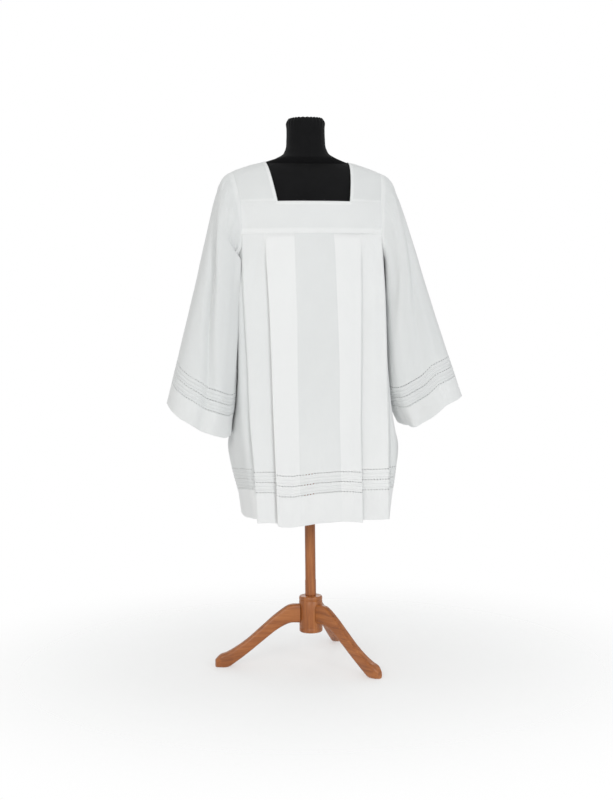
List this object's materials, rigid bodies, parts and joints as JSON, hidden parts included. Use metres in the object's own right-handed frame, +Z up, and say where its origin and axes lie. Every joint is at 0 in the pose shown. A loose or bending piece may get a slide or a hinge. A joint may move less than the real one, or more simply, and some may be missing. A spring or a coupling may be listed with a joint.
{
  "type": "surplice on a dress form",
  "caption": "White pleated surplice with square neck and bell sleeves, worn by a limbless black dress form on a wooden tripod.",
  "frame": {"origin": "on the floor under the pole, at the middle of the part's box", "axes": "+Z up, the garment's front faces -Y, the wearer's left is +X"},
  "size_m": [0.8472, 0.5004, 1.576],
  "materials": {
    "cloth": "plain-woven white cotton blend, matte",
    "form_cover": "black jersey, matte",
    "wood": "stained wood, satin"
  },
  "bodies": {
    "root": {"yoke_front": "cloth", "yoke_back": "cloth", "shoulder_left": "cloth", "shoulder_right": "cloth", "body_front": "cloth", "body_back": "cloth", "sleeve_left": "cloth", "sleeve_right": "cloth", "form_torso": "form_cover", "stand_pole": "wood", "stand_hub": "wood", "leg_1": "wood", "leg_2": "wood", "leg_3": "wood"}
  },
  "joints": []
}
